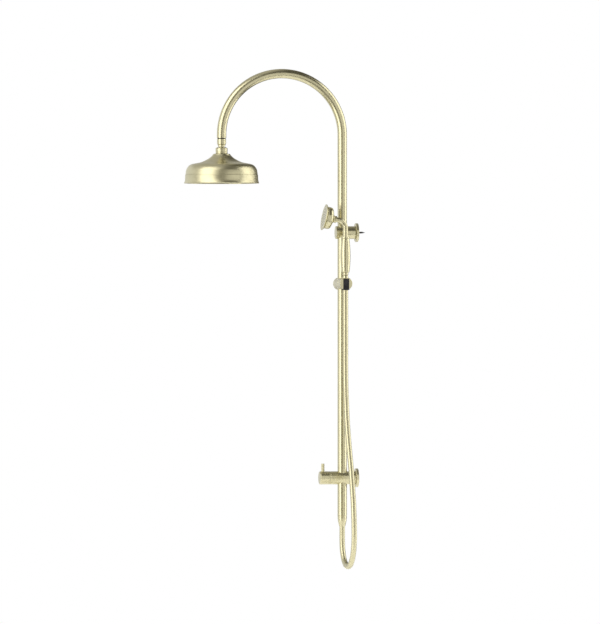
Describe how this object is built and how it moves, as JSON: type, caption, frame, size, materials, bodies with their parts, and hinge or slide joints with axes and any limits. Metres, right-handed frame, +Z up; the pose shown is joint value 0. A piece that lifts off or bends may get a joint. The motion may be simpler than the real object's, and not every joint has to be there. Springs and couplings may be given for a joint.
{
  "type": "rainfall shower column",
  "caption": "Wall shower column: riser with a swan-neck arm, swivelling bell rose, diverter, slider with handset, and hose.",
  "frame": {"origin": "on the wall plane, at the centre of the lower wall rosette's back", "axes": "+Z up along the riser, +Y into the wall, -Y to the room, +X to the side that carries the handset"},
  "size_m": [0.2493, 0.488, 1.331],
  "materials": {
    "aged_brass": "brushed pale aged brass, satin lacquer",
    "raw_brass": "machined",
    "dark_steel": "dark, machined",
    "stainless": "woven mesh",
    "black_plastic": "moulded, fine grain",
    "white_plastic": "moulded",
    "rubber": "matt",
    "silicone": "soft matt",
    "hose": "metal-clad double interlock hose"
  },
  "bodies": {
    "root": {"lower_wall_rosette": "aged_brass", "inlet_union": "raw_brass", "inlet_washer": "rubber", "inlet_filter": "stainless", "diverter_body": "aged_brass", "diverter_cartridge": "white_plastic", "cartridge_nut": "raw_brass", "cartridge_seal": "rubber", "riser_pipe": "aged_brass", "outlet_pipe": "aged_brass", "riser_seal": "rubber", "outlet_seal": "rubber", "outlet_cone_nut": "aged_brass", "upper_wall_rosette": "aged_brass", "wall_boss": "raw_brass", "wall_stud": "dark_steel", "stud_nut": "dark_steel", "upper_bracket_body": "aged_brass", "upper_bracket_cap": "aged_brass", "upper_grub_screw": "dark_steel", "pipe_coupler": "raw_brass", "swan_neck_pipe": "aged_brass", "ball_stem": "aged_brass", "arm_end_ring": "black_plastic", "arm_end_insert": "raw_brass", "hose_lower": "hose"},
    "diverter_handle": {"diverter_handle": "aged_brass", "lever_pin": "aged_brass", "handle_grub_screw": "dark_steel", "diverter_spindle": "raw_brass"},
    "ball_ring": {"ball_ring": "white_plastic"},
    "swivel_nut": {"swivel_nut": "aged_brass"},
    "rose": {"rose_shell": "aged_brass", "rose_rim": "aged_brass", "rose_face_plate": "aged_brass", "rose_nozzle_mat": "silicone", "rose_gasket": "rubber", "ball_seat": "rubber"},
    "slider": {"slider_body": "aged_brass", "slider_liner": "white_plastic", "brake_pad": "black_plastic", "friction_washer": "black_plastic", "pivot_screw": "dark_steel", "hose_middle": "hose"},
    "lock_knob": {"lock_knob": "aged_brass", "lock_screw": "dark_steel"},
    "cradle": {"cradle_body": "aged_brass", "cradle_bush": "black_plastic", "hose_upper": "hose"},
    "handset": {"hose_cone_nut": "aged_brass", "hose_washer": "rubber", "handset_tail": "aged_brass", "handset_grip": "aged_brass", "grip_bead": "aged_brass", "handset_neck": "aged_brass", "handset_head_shell": "aged_brass", "handset_rim": "aged_brass", "handset_face_plate": "aged_brass", "handset_nozzle_mat": "silicone"}
  },
  "joints": [
    {"name": "diverter_turn", "type": "hinge", "parent": "root", "child": "diverter_handle", "pos_m": [0, -0.09, 0], "axis": [0, 1, 0], "range_deg": [-90, 90]},
    {"name": "rose_tilt_forward", "type": "hinge", "parent": "root", "child": "ball_ring", "pos_m": [0, -0.368, 0.856], "axis": [1, 0, 0], "range_deg": [-10, 10]},
    {"name": "rose_tilt_side", "type": "hinge", "parent": "ball_ring", "child": "swivel_nut", "pos_m": [0, -0.368, 0.856], "axis": [0, 1, 0], "range_deg": [-10, 10]},
    {"name": "rose_spin", "type": "hinge", "parent": "swivel_nut", "child": "rose", "pos_m": [0, -0.368, 0.856], "axis": [0, 0, 1], "continuous": true},
    {"name": "slider_height", "type": "slide", "parent": "root", "child": "slider", "axis": [0, 0, 1], "range_m": [-0.25, 0.09], "deforming": ["hose_lower"]},
    {"name": "lock_knob_turn", "type": "hinge", "parent": "slider", "child": "lock_knob", "pos_m": [-0.03, -0.042, 0.5177], "axis": [1, 0, 0], "range_deg": [0, 180]},
    {"name": "cradle_tilt", "type": "hinge", "parent": "slider", "child": "cradle", "pos_m": [0.048, -0.042, 0.5177], "axis": [1, 0, 0], "range_deg": [0, 20], "deforming": ["hose_middle"]},
    {"name": "handset_lift", "type": "slide", "parent": "cradle", "child": "handset", "axis": [0, 0, 1], "range_m": [0, 0.045], "deforming": ["hose_upper"]}
  ]
}
